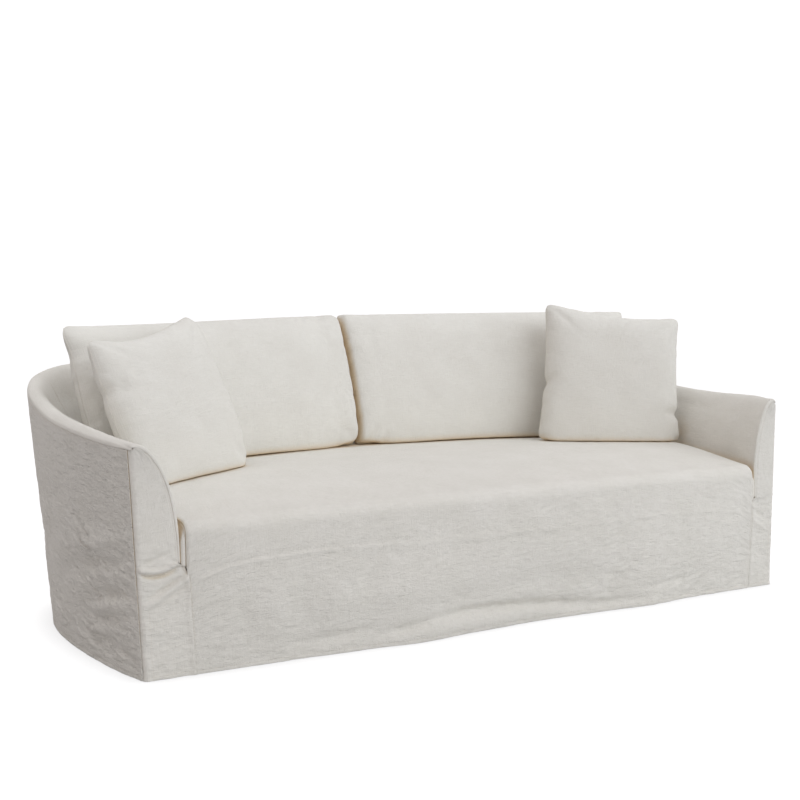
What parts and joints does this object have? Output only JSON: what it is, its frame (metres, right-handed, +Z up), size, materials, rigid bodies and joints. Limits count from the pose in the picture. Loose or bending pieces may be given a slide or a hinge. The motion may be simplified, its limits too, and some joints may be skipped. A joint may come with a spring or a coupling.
{
  "type": "sofa slipcover with its back cushions and throw pillows",
  "caption": "Fitted ivory linen slipcover for a curved-back sofa, hollow beneath, with matching filled back cushions and throw pillows.",
  "frame": {"origin": "on the floor, under the middle of the bounding box", "axes": "+Z up, +X to the right as seen from the front, the front of the seat towards -Y"},
  "size_m": [2.3911, 1.1851, 0.9321],
  "materials": {
    "cover_linen": "washed heavy linen in ivory, plain weave, matt",
    "cushion_linen": "washed linen in ivory, plain weave, matt, over a soft filling"
  },
  "bodies": {
    "root": {"arm_front_left": "cover_linen", "arm_front_right": "cover_linen", "back_cushion_left": "cushion_linen", "back_cushion_right": "cushion_linen", "inside_arm_left": "cover_linen", "inside_arm_right": "cover_linen", "inside_back": "cover_linen", "outside_arm_left": "cover_linen", "outside_arm_right": "cover_linen", "outside_back": "cover_linen", "seat_panel": "cover_linen", "seat_side_left": "cover_linen", "seat_side_right": "cover_linen", "throw_pillow_left": "cushion_linen", "throw_pillow_right": "cushion_linen"}
  },
  "joints": []
}
